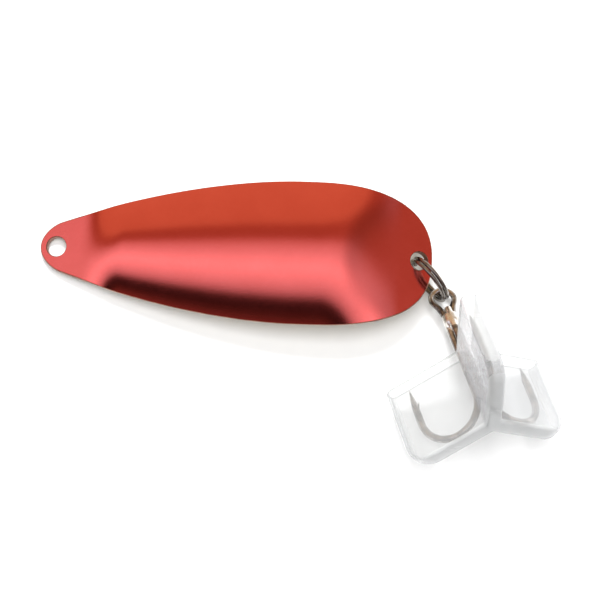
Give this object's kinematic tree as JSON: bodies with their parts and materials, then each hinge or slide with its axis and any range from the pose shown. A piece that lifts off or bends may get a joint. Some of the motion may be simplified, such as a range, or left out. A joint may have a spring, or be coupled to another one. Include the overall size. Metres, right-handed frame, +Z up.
{
  "type": "spoon lure",
  "caption": "Domed metal spoon lure with a red lacquered face, a split ring, and a brazed treble hook under a clear soft hook guard.",
  "frame": {"origin": "centre of the bounding box's footprint, on the surface that the lure lies on", "axes": "+X along the blade from its head to its tail, +Y across the blade away from the treble, +Z up"},
  "size_m": [0.0984, 0.052, 0.0314],
  "materials": {
    "red_lacquered_brass": "mirror-plated brass under transparent red lacquer on the domed face, bare at the edge and in the holes",
    "black_nickel_steel": "dark nickel plate",
    "bronzed_hook_steel": "bronzed and lacquered wire",
    "silver_braze": "bright brazing metal",
    "clear_soft_plastic": "clear, slightly milky soft moulding"
  },
  "bodies": {
    "blade": {"spoon_blade": "red_lacquered_brass"},
    "ring": {"split_ring": "black_nickel_steel"},
    "treble": {"double_hook": "bronzed_hook_steel", "single_hook": "bronzed_hook_steel", "braze": "silver_braze"},
    "guard": {"hook_guard": "clear_soft_plastic"}
  },
  "joints": [
    {"name": "ring_swing", "type": "hinge", "parent": "blade", "child": "ring", "pos_m": [0.02108, 0.01273, 0.00668], "axis": [-0.7367, -0.6693, 0.0969], "range_deg": [-30, 50]},
    {"name": "treble_swing", "type": "hinge", "parent": "ring", "child": "treble", "pos_m": [0.02653, 0.00623, 0.00325], "axis": [0.3195, -0.2182, 0.9221], "range_deg": [-20, 110]},
    {"name": "guard_slide", "type": "slide", "parent": "treble", "child": "guard", "axis": [0.2962, -0.8138, 0.5], "range_m": [0, 0.018]}
  ]
}
